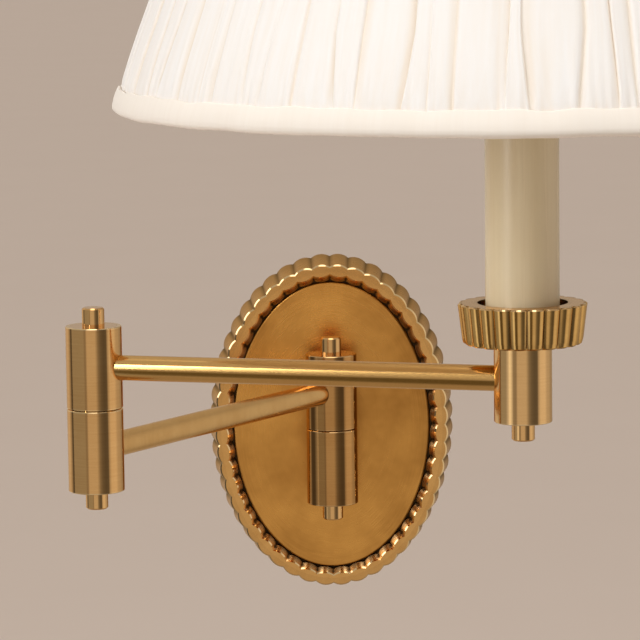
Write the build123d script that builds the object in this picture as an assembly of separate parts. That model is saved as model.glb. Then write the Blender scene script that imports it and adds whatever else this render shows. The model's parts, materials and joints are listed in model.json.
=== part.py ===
from build123d import *
import math
import os

# Swing arm wall sconce: a reeded oval backplate, two hinged brass arms, a candle lamp and a gathered shade.
# Millimetres. The wall is the plane Y = 0, the light faces -Y and +Z is up.
# The origin is the middle of the backplate's back.

# Fits
slip = 0.05  # radial clearance of a spigot, plug, nut or nipple in its seat
running = 0.05  # radial clearance of a turning knuckle on its nipple
cloth_gap = 0.3  # clearance between the layers of the shade
weld_gap = 0.1  # between two wires of the shade's frame
hook_gap = 0.4  # clearance of the strap's hook in its pocket

# Backplate: a reeded ring round a smooth oval panel
plate_width = 92.2  # over the reeds, at the front
plate_height = 128.7
plate_depth = 17.0
plate_flare = 2.4  # the reeded side spreads by this much towards the wall
plate_edge = 0.6  # softened front edge of the ring
rim_width = 5.4  # flat front of the ring, tip to tip
rim_reeds = 48
reed_depth = 1.0
groove_width = 1.85  # from the ring's front to the panel's edge
groove_depth = 5.0
groove_draft = 1.7  # the ring's reeded inner wall slopes in by this much down to the panel's front
panel_setback = 2.6  # panel front behind the ring front
panel_edge = 0.8
flange_thickness = 2.5
flange_ledge = 8.0  # how far the flange reaches in behind the panel
rim_wall = 4.2
panel_screw_diameter = 3.0
panel_screw_head_diameter = 5.5
panel_screw_head_height = 2.0
panel_screw_bite = 1.6  # depth of the screw in the panel
panel_screw_angles = (40, 140, 220, 320)

# Mounting strap
strap_width = 20.0
strap_thickness = 2.0
strap_end_gap = 2.3  # from the strap's end to the wall of the hollow
strap_tab = 8.0
strap_hook_level = 4.0
strap_screw_spacing = 60.0
strap_slot_width = 4.5
strap_slot_length = 12.0
cable_hole_diameter = 10.0
hook_engagement = 1.8
lock_screw_diameter = 4.0
lock_screw_length = 6.0
lock_screw_level = 5.0
earth_screw_diameter = 4.0
earth_screw_head_diameter = 8.0
earth_screw_head_height = 2.4
earth_screw_place = -45.0
terminal_length = 24.0
terminal_width = 13.0
terminal_height = 8.0
terminal_place = 15.0
terminal_ways = 3
terminal_wire_hole = 3.2

# Hinge knuckles and their inner parts
knuckle_diameter = 20.0
knuckle_height = 29.5
knuckle_bore = 16.8
knuckle_web = 6.0
knuckle_edge = 0.25
joint_gap = 0.3
nipple_diameter = 10.0
nipple_bore = 7.0
nipple_end = 1.0  # thread standing past a nut
nut_across_flats = 14.0
nut_thickness = 2.5
friction_washer_diameter = 15.0
friction_washer_thickness = 1.0
spring_washer_diameter = 16.0
spring_washer_bore = 10.6
spring_washer_thickness = 0.8
finial_diameter = 8.0
finial_length = 6.5
finial_plug = 4.0
finial_edge = 0.5

# Stem that carries the fixed wall knuckle on the panel
wall_pivot_offset = 31.5  # wall hinge axis from the wall
wall_joint_height = 1.5  # joint line of the wall hinge above the plate's middle
stem_diameter = 14.0
stem_thread_diameter = 10.0
stem_bore = 6.0
stem_thread_length = 8.4  # behind the panel's front
stem_washer_diameter = 18.0
stem_washer_thickness = 1.2

# Arms, with the headings of the resting pose measured from +X
arm_diameter = 9.0
arm_bore = 7.0
arm_entry = 0.3  # how far a tube stands into its knuckle's hollow
rear_arm_reach = 155.0
front_arm_reach = 155.0
rear_arm_heading = 237.1
front_arm_heading = 344.4

# Candle cup and tube
cup_top_diameter = 44.4
cup_bottom_diameter = 41.6
cup_height = 14.1
cup_reeds = 22
cup_reed_depth = 1.1
cup_edge = 0.5
cup_foot_round = 2.0  # height of the reeds' rounded lower ends
cup_foot_inset = 1.2
cup_socket_depth = 2.4
cup_floor = 3.5
cup_well_diameter = 31.0
candle_diameter = 25.4
candle_wall = 1.0
candle_length = 100.0
candle_nut_thickness = 3.0

# Lampholder and bulb, small screw size
holder_grip = 8.0  # nipple thread in the holder's foot
holder_body_diameter = 22.4
holder_body_length = 38.0  # inside the candle tube
holder_flange_diameter = 34.0
holder_flange_thickness = 3.0
holder_skirt_diameter = 27.6
holder_skirt_length = 15.0
holder_cavity_diameter = 17.0
holder_cavity_depth = 30.0
shell_wall = 0.6
shell_length = 24.0
contact_plate_diameter = 15.0
contact_plate_thickness = 0.5
contact_button_diameter = 7.0
contact_height = 1.2
shade_ring_diameter = 38.0
shade_ring_thickness = 6.0
bulb_cap_diameter = 14.0
bulb_cap_length = 27.0
bulb_glass_diameter = 35.0
bulb_glass_length = 74.0
bulb_widest_height = 26.6  # widest place above the neck
bulb_neck_flare = 0.3  # spread of the glass at its neck
bulb_tip_slope = 0.6  # rise of the glass at its tip
bulb_neck_diameter = 14.6
bulb_glass_wall = 0.9

# Shade, an empire cone of gathered cloth on a wire frame
shade_bottom_clearance = 67.0  # lower edge of the shade above the cup's rim
shade_height = 165.0
shade_bottom_diameter = 280.0  # of the straight cone over the gathers, at the lower edge
shade_top_diameter = 150.0
shade_hold_diameter = 270.2  # over the gathers where the lower trim draws them in
shade_hold_rise = 6.0  # from the lower trim's upper edge to where the cloth runs straight
shade_gathers = 76
gather_depth_bottom = 1.7
gather_depth_top = 1.2
gather_unevenness = 0.24  # share of a step by which a fold leaves its even place
gather_waves = (2.4, 5.3)  # two waves that never fall in step make the folds uneven
gather_wave_share = 0.6  # second wave against the first
cover_thickness = 0.8
lining_thickness = 0.6
bottom_trim_height = 9.0
bottom_trim_stand = 3.8  # the roll stands out past the cloth
top_trim_height = 8.0
top_trim_stand = 2.4
trim_lip = 1.0  # thin edge of a trim, on the cloth
frame_wire = 3.0  # rings
strut_wire = 2.6  # uprights and spider
frame_struts = 6
spider_arms = 3
frame_turn = 20.0  # the frame's first upright from the arm's line
spider_ring_diameter = 35.0
spider_ring_thickness = 3.6

# Sizes that follow
knuckle_radius = knuckle_diameter / 2
chamber_radius = knuckle_bore / 2
arm_height = knuckle_height / 2
arm_end = chamber_radius - arm_entry
ellipse_parts = 60  # fine parts of an ellipse for each reed


def tube(outer, inner, low, high):
    """A straight tube about Z between two heights."""
    ring = Circle(outer / 2) - Circle(inner / 2)
    return Pos(0, 0, low) * extrude(ring, high - low)


def rod(diameter, low, high):
    """A round bar about Z between two heights."""
    return Pos(0, 0, low) * extrude(Circle(diameter / 2), high - low)


def turned(*points):
    """A body turned about Z from (radius, height) points."""
    outline = Polyline(*[(radius, 0, height) for radius, height in points], close=True)
    return revolve(make_face(outline), Axis.Z)


def nut(low, bore):
    """A hexagon nut about Z that sits on the height low."""
    hexagon = RegularPolygon(nut_across_flats / 2, 6, major_radius=False)
    return Pos(0, 0, low) * extrude(hexagon - Circle(bore / 2 + slip), nut_thickness)


def wire_bar(start, end, diameter):
    """A straight round wire between two points."""
    path = Vector(*end) - Vector(*start)
    return Solid.make_cylinder(diameter / 2, path.length, Plane(origin=start, z_dir=path))


def equal_steps(half_width, half_height, count):
    """Angles that part an ellipse into equal lengths, from its top round to the top again."""
    fine = ellipse_parts * count
    lengths = [0.0]
    for index in range(fine):
        angle = math.tau * (index + 0.5) / fine
        step = math.hypot(half_width * math.cos(angle), half_height * math.sin(angle)) * math.tau / fine
        lengths.append(lengths[-1] + step)
    angles = []
    index = 0
    for part in range(count + 1):
        target = lengths[-1] * part / count
        while index < fine - 1 and lengths[index + 1] < target:
            index += 1
        share = (target - lengths[index]) / (lengths[index + 1] - lengths[index])
        angles.append(math.tau * (index + share) / fine)
    return angles


def reeded_face(half_width, half_height, angles, depth, height):
    """A flat face bounded by round reeds; a negative depth turns the reeds inwards."""
    valley_width = half_width - depth
    valley_height = half_height - depth

    def place(angle, across, along):
        return Vector(across * math.sin(angle), along * math.cos(angle), height)

    arcs = []
    for first, last in zip(angles[:-1], angles[1:]):
        middle = (first + last) / 2
        start = place(first, valley_width, valley_height)
        tip = place(middle, half_width, half_height)
        end = place(last, valley_width, valley_height)
        arcs.append(ThreePointArc(start, tip, end))
    return Face(Wire(arcs))


def oval(half_width, half_height, low, high):
    """An elliptical slab between two distances from the wall."""
    return Pos(0, 0, low) * extrude(Ellipse(half_width, half_height), high - low)


# The backplate is drawn flat, with Y up the wall and Z out of it, and then stood up
stood_up = Rot(90, 0, 0)
half_width = plate_width / 2
half_height = plate_height / 2
groove_floor = plate_depth - groove_depth
flange_back = groove_floor - flange_thickness
panel_front = plate_depth - panel_setback
panel_half_width = half_width - rim_width - groove_width
panel_half_height = half_height - rim_width - groove_width
hollow_half_width = half_width - rim_wall
hollow_half_height = half_height - rim_wall
stem_place = wall_joint_height - arm_height
strap_end = hollow_half_height - strap_end_gap


def panel_screw_places():
    """Middles of the four screws that join the ring's flange to the panel."""
    across = panel_half_width - flange_ledge / 2
    along = panel_half_height - flange_ledge / 2
    return [
        (across * math.cos(math.radians(angle)), along * math.sin(math.radians(angle)))
        for angle in panel_screw_angles
    ]


def make_backplate_rim():
    angles = equal_steps(half_width, half_height, rim_reeds)
    inner_width = half_width - rim_width
    inner_height = half_height - rim_width
    outside = loft(
        [
            reeded_face(half_width + plate_flare, half_height + plate_flare, angles, reed_depth, 0),
            reeded_face(half_width, half_height, angles, reed_depth, plate_depth - plate_edge),
            reeded_face(half_width - plate_edge, half_height - plate_edge, angles, reed_depth, plate_depth),
        ],
        ruled=True,
    )
    foot_width = inner_width - groove_draft
    foot_height = inner_height - groove_draft
    inside = loft(
        [
            reeded_face(foot_width, foot_height, angles, -reed_depth, groove_floor),
            reeded_face(foot_width, foot_height, angles, -reed_depth, panel_front),
            reeded_face(inner_width, inner_height, angles, -reed_depth, plate_depth - plate_edge),
            reeded_face(inner_width + plate_edge, inner_height + plate_edge, angles, -reed_depth, plate_depth),
        ],
        ruled=True,
    )
    rim = outside - inside
    rim -= oval(hollow_half_width, hollow_half_height, 0, flange_back)
    rim -= oval(panel_half_width - flange_ledge, panel_half_height - flange_ledge, 0, plate_depth)
    for across, along in panel_screw_places():
        rim -= Pos(across, along, 0) * rod(panel_screw_diameter + 2 * slip, 0, plate_depth)
    # Pocket for the strap's hook at the top, and the lock screw's hole at the bottom
    hook_width = strap_width + 2 * hook_gap
    hook_low = strap_hook_level - hook_gap
    hook_high = strap_hook_level + strap_thickness + hook_gap
    hook_reach = strap_end_gap + hook_engagement + hook_gap
    pocket = Box(hook_width, hook_reach, hook_high - hook_low, align=(Align.CENTER, Align.MIN, Align.MIN))
    rim -= Pos(0, strap_end, hook_low) * pocket
    screw_hole = Cylinder(lock_screw_diameter / 2 + slip, half_height, align=(Align.CENTER, Align.CENTER, Align.MIN))
    rim -= Pos(0, -strap_end, lock_screw_level) * Rot(90, 0, 0) * screw_hole
    return stood_up * rim


def make_backplate_panel():
    panel = oval(panel_half_width, panel_half_height, groove_floor, panel_front)
    front_edge = panel.faces().sort_by(Axis.Z)[-1].edges()
    panel = fillet(front_edge, panel_edge)
    panel -= Pos(0, stem_place, 0) * rod(stem_thread_diameter + 2 * slip, 0, plate_depth)
    for across, along in panel_screw_places():
        panel -= Pos(across, along, 0) * rod(panel_screw_diameter, groove_floor, groove_floor + panel_screw_bite)
    return stood_up * panel


def make_panel_screws():
    screws = []
    for across, along in panel_screw_places():
        head_low = flange_back - panel_screw_head_height
        shank = rod(panel_screw_diameter, flange_back, groove_floor + panel_screw_bite)
        head = rod(panel_screw_head_diameter, head_low, flange_back)
        screws.append(stood_up * Pos(across, along, 0) * (shank + head))
    return Compound(screws)


def make_mounting_strap():
    tab_inner = strap_end - strap_thickness
    hook_tip = strap_end + strap_end_gap + hook_engagement
    hook_top = strap_hook_level + strap_thickness
    side = Polyline(
        (0, -strap_end, 0),
        (0, strap_end, 0),
        (0, strap_end, strap_hook_level),
        (0, hook_tip, strap_hook_level),
        (0, hook_tip, hook_top),
        (0, tab_inner, hook_top),
        (0, tab_inner, strap_thickness),
        (0, -tab_inner, strap_thickness),
        (0, -tab_inner, strap_tab),
        (0, -strap_end, strap_tab),
        close=True,
    )
    strap = extrude(make_face(side), strap_width / 2, both=True)
    slot = Rot(0, 0, 90) * SlotOverall(strap_slot_length, strap_slot_width)
    for along in (-strap_screw_spacing / 2, strap_screw_spacing / 2):
        strap -= Pos(0, along, 0) * extrude(slot, strap_thickness)
    strap -= rod(cable_hole_diameter, 0, strap_thickness)
    strap -= Pos(0, earth_screw_place, 0) * rod(earth_screw_diameter + 2 * slip, 0, strap_thickness)
    return stood_up * strap


def make_plate_lock_screw():
    screw = rod(lock_screw_diameter, 0, lock_screw_length)
    return stood_up * Pos(0, -strap_end, lock_screw_level) * Rot(90, 0, 0) * screw


def make_earth_screw():
    shank = rod(earth_screw_diameter, 0, strap_thickness)
    head = rod(earth_screw_head_diameter, strap_thickness, strap_thickness + earth_screw_head_height)
    return stood_up * Pos(0, earth_screw_place, 0) * (shank + head)


def make_terminal_block():
    block = Pos(0, terminal_place, strap_thickness) * Box(
        terminal_length, terminal_width, terminal_height, align=(Align.CENTER, Align.CENTER, Align.MIN)
    )
    pitch = terminal_length / terminal_ways
    wire_level = strap_thickness + terminal_height / 2
    for way in range(terminal_ways):
        across = (way - (terminal_ways - 1) / 2) * pitch
        wire_hole = Rot(90, 0, 0) * rod(terminal_wire_hole, -terminal_width, terminal_width)
        block -= Pos(across, terminal_place, wire_level) * wire_hole
    return stood_up * block


def make_pivot_stem():
    spigot_end = wall_pivot_offset - arm_end
    shoulder = rod(stem_diameter, panel_front, wall_pivot_offset)
    knuckle_space = Cylinder(knuckle_radius + slip, knuckle_height, rotation=(90, 0, 0))
    shoulder -= Pos(0, 0, wall_pivot_offset) * knuckle_space
    thread = rod(stem_thread_diameter, panel_front - stem_thread_length, panel_front)
    spigot = rod(arm_diameter, panel_front, spigot_end)
    stem = shoulder + thread + spigot - rod(stem_bore, 0, wall_pivot_offset)
    return stood_up * Pos(0, stem_place, 0) * stem


def make_stem_washer():
    washer = tube(
        stem_washer_diameter,
        stem_thread_diameter + 2 * slip,
        groove_floor - stem_washer_thickness,
        groove_floor,
    )
    return stood_up * Pos(0, stem_place, 0) * washer


def make_stem_nut():
    low = groove_floor - stem_washer_thickness - nut_thickness
    return stood_up * Pos(0, stem_place, 0) * nut(low, stem_thread_diameter)


# A hinge is drawn about Z with its joint line at height 0: the fixed knuckle below, the turning one above
washer_recess = friction_washer_thickness - joint_gap
turning_web_top = joint_gap + knuckle_web
swivel_nut_low = turning_web_top + spring_washer_thickness
nipple_top = swivel_nut_low + nut_thickness + nipple_end
nipple_bottom = -knuckle_web - nut_thickness - nipple_end


def barrel(low, high, chamber_low, chamber_high, web_bore, side_height, side_heading):
    """A round barrel with a hollow, a bored web and a side hole for its arm."""
    body = turned(
        (0, low),
        (knuckle_radius - knuckle_edge, low),
        (knuckle_radius, low + knuckle_edge),
        (knuckle_radius, high - knuckle_edge),
        (knuckle_radius - knuckle_edge, high),
        (0, high),
    )
    body -= rod(knuckle_bore, chamber_low, chamber_high)
    body -= rod(web_bore, low, high)
    side_hole = Rot(0, 90, 0) * rod(arm_diameter + 2 * slip, 0, knuckle_diameter)
    body -= Rot(0, 0, side_heading) * Pos(0, 0, side_height) * side_hole
    return body


def fixed_knuckle(side_heading):
    bore = nipple_diameter + 2 * slip
    body = barrel(-knuckle_height, 0, -knuckle_height, -knuckle_web, bore, -arm_height, side_heading)
    return body - rod(friction_washer_diameter + 2 * slip, -washer_recess, 0)


def turning_knuckle(side_heading):
    bore = nipple_diameter + 2 * running
    return barrel(joint_gap, knuckle_height, turning_web_top, knuckle_height, bore, arm_height, side_heading)


def hinge_nipple():
    return tube(nipple_diameter, nipple_bore, nipple_bottom, nipple_top)


def friction_washer():
    return tube(friction_washer_diameter, nipple_diameter + 2 * slip, -washer_recess, joint_gap)


def spring_washer():
    return tube(spring_washer_diameter, spring_washer_bore, turning_web_top, swivel_nut_low)


def finial(end, direction):
    """A plug that closes a barrel at the height end, with a round pin standing out of it."""
    plug_radius = chamber_radius - slip
    pin_radius = finial_diameter / 2
    tip = end + direction * finial_length
    return turned(
        (0, end - direction * finial_plug),
        (plug_radius, end - direction * finial_plug),
        (plug_radius, end),
        (pin_radius, end),
        (pin_radius, tip - direction * finial_edge),
        (pin_radius - finial_edge, tip),
        (0, tip),
    )


def arm_tube(reach, height):
    """An arm along +X from one hinge barrel to the next."""
    straight = tube(arm_diameter, arm_bore, arm_end, reach - arm_end)
    return Pos(0, 0, height) * Rot(0, 90, 0) * straight


# The lamp is drawn about Z with height 0 at the foot of its barrel
barrel_top = knuckle_height
lamp_web_low = barrel_top - knuckle_web
lamp_nipple_bottom = lamp_web_low - nut_thickness - nipple_end
cup_bottom = barrel_top - cup_socket_depth
cup_top = cup_bottom + cup_height
cup_floor_top = barrel_top + cup_floor
candle_top = cup_floor_top + candle_length
holder_foot = candle_top - holder_body_length
flange_top = candle_top + holder_flange_thickness
skirt_top = flange_top + holder_skirt_length
cavity_floor = skirt_top - holder_cavity_depth
cap_foot = cavity_floor + contact_height
glass_foot = cap_foot + bulb_cap_length
candle_bore = candle_diameter - 2 * candle_wall


def make_lamp_barrel():
    bore = nipple_diameter + 2 * slip
    return barrel(0, barrel_top, 0, lamp_web_low, bore, arm_height, 180)


def make_candle_cup():
    angles = equal_steps(1, 1, cup_reeds)
    top_radius = cup_top_diameter / 2
    bottom_radius = cup_bottom_diameter / 2
    turn = math.radians(45)
    turn_radius = bottom_radius - cup_foot_inset * (1 - math.cos(turn))
    turn_height = cup_bottom + cup_foot_round * (1 - math.sin(turn))

    def ring(radius, height):
        return reeded_face(radius, radius, angles, cup_reed_depth, height)

    outside = loft(
        [
            ring(bottom_radius - cup_foot_inset, cup_bottom),
            ring(turn_radius, turn_height),
            ring(bottom_radius, cup_bottom + cup_foot_round),
            ring(top_radius, cup_top - cup_edge),
            ring(top_radius - cup_edge, cup_top),
        ],
        ruled=True,
    )
    cup = outside - rod(cup_well_diameter, cup_floor_top, cup_top)
    cup -= rod(knuckle_diameter + 2 * slip, cup_bottom, barrel_top)
    return cup - rod(nipple_diameter + 2 * slip, cup_bottom, cup_top)


def make_candle_nut():
    outer = candle_bore - 2 * slip
    return tube(outer, nipple_diameter + 2 * slip, cup_floor_top, cup_floor_top + candle_nut_thickness)


def make_candle_tube():
    return tube(candle_diameter, candle_bore, cup_floor_top, candle_top)


def make_lampholder_nipple():
    return tube(nipple_diameter, nipple_bore, lamp_nipple_bottom, holder_foot + holder_grip)


def make_lampholder_body():
    body = rod(holder_body_diameter, holder_foot, candle_top)
    body += rod(holder_flange_diameter, candle_top, flange_top)
    body += rod(holder_skirt_diameter, flange_top, skirt_top)
    body -= rod(holder_cavity_diameter, cavity_floor, skirt_top)
    body -= rod(nipple_diameter + 2 * slip, holder_foot, holder_foot + holder_grip)
    return body - rod(nipple_bore, holder_foot, cavity_floor)


def make_lampholder_shell():
    outer = holder_cavity_diameter - 2 * slip
    return tube(outer, outer - 2 * shell_wall, cap_foot, cap_foot + shell_length)


def make_lampholder_contact():
    plate = rod(contact_plate_diameter, cavity_floor, cavity_floor + contact_plate_thickness)
    return plate + rod(contact_button_diameter, cavity_floor, cap_foot)


def make_shade_ring():
    return tube(
        shade_ring_diameter,
        holder_skirt_diameter + 2 * slip,
        flange_top + spider_ring_thickness,
        flange_top + spider_ring_thickness + shade_ring_thickness,
    )


def make_bulb_cap():
    return rod(bulb_cap_diameter, cap_foot, glass_foot)


def make_bulb_glass():
    widest = glass_foot + bulb_widest_height

    def flame(radius, neck, low, high):
        curve = Spline(
            (neck, 0, low),
            (radius, 0, widest),
            (0, 0, high),
            tangents=((bulb_neck_flare, 0, 1), (0, 0, 1), (-1, 0, bulb_tip_slope)),
        )
        foot = Line((0, 0, low), (neck, 0, low))
        back = Line((0, 0, high), (0, 0, low))
        return revolve(make_face([foot, curve, back]), Axis.Z)

    outer_radius = bulb_glass_diameter / 2
    neck_radius = bulb_neck_diameter / 2
    tip = glass_foot + bulb_glass_length
    outside = flame(outer_radius, neck_radius, glass_foot, tip)
    inside = flame(
        outer_radius - bulb_glass_wall,
        neck_radius - bulb_glass_wall,
        glass_foot + bulb_glass_wall,
        tip - 2 * bulb_glass_wall,
    )
    return outside - inside


# Shade heights and the radius of each layer
shade_low = cup_top + shade_bottom_clearance
shade_high = shade_low + shade_height
hold_radius = shade_hold_diameter / 2
hold_high = shade_low + bottom_trim_height
straight_low = hold_high + shade_hold_rise
layers = gather_depth_bottom + cover_thickness + cloth_gap
bottom_ring_height = shade_low + frame_wire / 2
top_ring_height = shade_high - frame_wire / 2
spider_low = flange_top


def cover_radius(height):
    """Radius over the gathers where the cloth runs straight."""
    share = (height - shade_low) / shade_height
    return shade_bottom_diameter / 2 + share * (shade_top_diameter - shade_bottom_diameter) / 2


# The lining is a straight cone behind the gathers, and the frame stands inside it
lining_bottom_radius = hold_radius - layers
lining_top_radius = shade_top_diameter / 2 - layers
lining_slope = (lining_bottom_radius - lining_top_radius) / shade_height
frame_lean = math.atan(lining_slope)


def lining_radius(height):
    return lining_bottom_radius - (height - shade_low) * lining_slope


def ring_radius(height):
    """Middle of a ring's wire, in line with the lining."""
    return lining_radius(height) - frame_wire / 2


def strut_radius(height):
    """Middle of an upright, lapped inside the rings."""
    return ring_radius(height) - ((frame_wire + strut_wire) / 2 + weld_gap) / math.cos(frame_lean)


def roll_diameter(outer_radius, ring_height):
    """A trim's roll fills the space between its outside and the ring that it covers."""
    return outer_radius - ring_radius(ring_height) - frame_wire / 2 - cloth_gap


# Both layers of cloth end at the rolled edges of the trims
bottom_trim_radius = hold_radius + bottom_trim_stand
bottom_roll = roll_diameter(bottom_trim_radius, bottom_ring_height)
cover_low = shade_low + bottom_roll + cloth_gap
top_trim_radius = cover_radius(shade_high) + top_trim_stand
top_roll = roll_diameter(top_trim_radius, top_ring_height)
cover_high = shade_high - top_roll - cloth_gap


def gather_angles():
    """Uneven steps round the shade, as hand-gathered cloth has."""
    angles = []
    for index in range(shade_gathers):
        first = math.sin(gather_waves[0] * index)
        second = math.sin(gather_waves[1] * index)
        shift = gather_unevenness * (first + gather_wave_share * second)
        angles.append(math.tau * (index + shift) / shade_gathers)
    angles.append(angles[0] + math.tau)
    return angles


def make_shade_cover():
    angles = gather_angles()
    back = gather_depth_bottom + cover_thickness

    def ring(radius, depth, height):
        return reeded_face(radius, radius, angles, depth, height)

    outside = loft(
        [
            ring(hold_radius, gather_depth_bottom, cover_low),
            ring(hold_radius, gather_depth_bottom, hold_high),
            ring(cover_radius(straight_low), gather_depth_bottom, straight_low),
            ring(cover_radius(cover_high), gather_depth_top, cover_high),
        ],
        ruled=True,
    )
    inside = turned(
        (0, cover_low),
        (hold_radius - back, cover_low),
        (hold_radius - back, hold_high),
        (cover_radius(straight_low) - back, straight_low),
        (cover_radius(cover_high) - back, cover_high),
        (0, cover_high),
    )
    return outside - inside


def make_shade_lining():
    low_radius = lining_radius(cover_low)
    high_radius = lining_radius(cover_high)
    return turned(
        (low_radius - lining_thickness, cover_low),
        (low_radius, cover_low),
        (high_radius, cover_high),
        (high_radius - lining_thickness, cover_high),
    )


def trim(roll, roll_radius, roll_height, lip_radius, lip_height):
    """A band of folded cloth: a thick roll at the shade's edge that thins to a lip on the cloth."""
    roll_edge = Pos(roll_radius, roll_height) * Circle(roll / 2)
    lip_edge = Pos(lip_radius, lip_height) * Circle(trim_lip / 2)
    section = make_hull(roll_edge.edges() + lip_edge.edges())
    return revolve(Plane.XZ * section, Axis.Z)


def make_shade_bottom_trim():
    lip_radius = hold_radius + cloth_gap + trim_lip / 2
    lip_height = hold_high - trim_lip / 2
    roll_radius = bottom_trim_radius - bottom_roll / 2
    band = trim(bottom_roll, roll_radius, shade_low + bottom_roll / 2, lip_radius, lip_height)
    return band - rod(2 * (hold_radius + cloth_gap), shade_low + bottom_roll, hold_high)


def make_shade_top_trim():
    lip_height = shade_high - top_trim_height + trim_lip / 2
    lip_radius = cover_radius(lip_height - trim_lip / 2) + cloth_gap + trim_lip / 2
    roll_radius = top_trim_radius - top_roll / 2
    band = trim(top_roll, roll_radius, shade_high - top_roll / 2, lip_radius, lip_height)
    low = shade_high - top_trim_height
    high = shade_high - top_roll
    cloth_space = turned(
        (0, low),
        (cover_radius(low) + cloth_gap, low),
        (cover_radius(high) + cloth_gap, high),
        (0, high),
    )
    return band - cloth_space


def frame_points(radius_at, low, high, count):
    """Lower and upper ends of straight wires spread evenly round the shade."""
    ends = []
    for index in range(count):
        angle = math.radians(frame_turn) + math.tau * index / count
        across = math.cos(angle)
        along = math.sin(angle)
        foot = (radius_at(low) * across, radius_at(low) * along, low)
        head = (radius_at(high) * across, radius_at(high) * along, high)
        ends.append((foot, head))
    return ends


def make_ring_wire(height):
    return Pos(0, 0, height) * Torus(ring_radius(height), frame_wire / 2)


def make_shade_struts():
    ends = frame_points(strut_radius, shade_low, top_ring_height, frame_struts)
    return Compound([wire_bar(foot, head, strut_wire) for foot, head in ends])


def make_shade_spider():
    level = spider_low + spider_ring_thickness / 2
    spider = tube(
        spider_ring_diameter,
        holder_skirt_diameter + 2 * slip,
        spider_low,
        spider_low + spider_ring_thickness,
    )
    ring_middle = (spider_ring_diameter + holder_skirt_diameter) / 4
    for index in range(spider_arms):
        angle = math.radians(frame_turn) + math.tau * index / spider_arms
        across = math.cos(angle)
        along = math.sin(angle)
        reach = strut_radius(level + strut_wire / 2) - strut_wire / 2 - weld_gap
        start = (ring_middle * across, ring_middle * along, level)
        end = (reach * across, reach * along, level)
        spider += wire_bar(start, end, strut_wire)
    return spider


# Where each drawing stands in the resting pose
wall_hinge = Pos(0, -wall_pivot_offset, wall_joint_height)
rear_arm = wall_hinge * Rot(0, 0, rear_arm_heading)
rear_turn = math.radians(rear_arm_heading)
elbow_hinge = Pos(
    rear_arm_reach * math.cos(rear_turn),
    rear_arm_reach * math.sin(rear_turn) - wall_pivot_offset,
    wall_joint_height + knuckle_height,
)
rear_elbow = elbow_hinge * Rot(0, 0, rear_arm_heading)
front_arm = elbow_hinge * Rot(0, 0, front_arm_heading)
lamp = front_arm * Pos(front_arm_reach, 0, 0)

nodes = {
    "mounting_strap": make_mounting_strap(),
    "plate_lock_screw": make_plate_lock_screw(),
    "earth_screw": make_earth_screw(),
    "terminal_block": make_terminal_block(),
    "backplate_rim": make_backplate_rim(),
    "backplate_panel": make_backplate_panel(),
    "panel_screws": make_panel_screws(),
    "pivot_stem": make_pivot_stem(),
    "stem_washer": make_stem_washer(),
    "stem_nut": make_stem_nut(),
    "wall_knuckle_lower": wall_hinge * fixed_knuckle(90),
    "wall_pivot_nipple": wall_hinge * hinge_nipple(),
    "wall_nipple_nut": wall_hinge * nut(-knuckle_web - nut_thickness, nipple_diameter),
    "wall_friction_washer": wall_hinge * friction_washer(),
    "wall_swivel_nut": wall_hinge * nut(swivel_nut_low, nipple_diameter),
    "wall_bottom_finial": wall_hinge * finial(-knuckle_height, -1),
    "wall_knuckle_upper": rear_arm * turning_knuckle(0),
    "wall_spring_washer": rear_arm * spring_washer(),
    "wall_top_finial": rear_arm * finial(knuckle_height, 1),
    "rear_arm_tube": rear_arm * arm_tube(rear_arm_reach, arm_height),
    "elbow_knuckle_lower": rear_elbow * fixed_knuckle(180),
    "elbow_pivot_nipple": rear_elbow * hinge_nipple(),
    "elbow_nipple_nut": rear_elbow * nut(-knuckle_web - nut_thickness, nipple_diameter),
    "elbow_friction_washer": rear_elbow * friction_washer(),
    "elbow_swivel_nut": rear_elbow * nut(swivel_nut_low, nipple_diameter),
    "elbow_bottom_finial": rear_elbow * finial(-knuckle_height, -1),
    "elbow_knuckle_upper": front_arm * turning_knuckle(0),
    "elbow_spring_washer": front_arm * spring_washer(),
    "elbow_top_finial": front_arm * finial(knuckle_height, 1),
    "front_arm_tube": front_arm * arm_tube(front_arm_reach, arm_height),
    "lamp_barrel": lamp * make_lamp_barrel(),
    "lamp_bottom_finial": lamp * finial(0, -1),
    "candle_cup": lamp * make_candle_cup(),
    "candle_nut": lamp * make_candle_nut(),
    "candle_tube": lamp * make_candle_tube(),
    "lampholder_nipple": lamp * make_lampholder_nipple(),
    "lampholder_nut": lamp * nut(lamp_web_low - nut_thickness, nipple_diameter),
    "lampholder_body": lamp * make_lampholder_body(),
    "lampholder_shell": lamp * make_lampholder_shell(),
    "lampholder_contact": lamp * make_lampholder_contact(),
    "shade_ring": lamp * make_shade_ring(),
    "bulb_cap": lamp * make_bulb_cap(),
    "bulb_glass": lamp * make_bulb_glass(),
    "shade_bottom_ring": lamp * make_ring_wire(bottom_ring_height),
    "shade_top_ring": lamp * make_ring_wire(top_ring_height),
    "shade_struts": lamp * make_shade_struts(),
    "shade_spider": lamp * make_shade_spider(),
    "shade_lining": lamp * make_shade_lining(),
    "shade_cover": lamp * make_shade_cover(),
    "shade_bottom_trim": lamp * make_shade_bottom_trim(),
    "shade_top_trim": lamp * make_shade_top_trim(),
}

os.makedirs("parts", exist_ok=True)
for name, shape in nodes.items():
    export_step(shape, f"parts/{name}.step")
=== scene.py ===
import json
import math
from types import SimpleNamespace

import bpy
import numpy as np
from mathutils import Matrix, Vector


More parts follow.
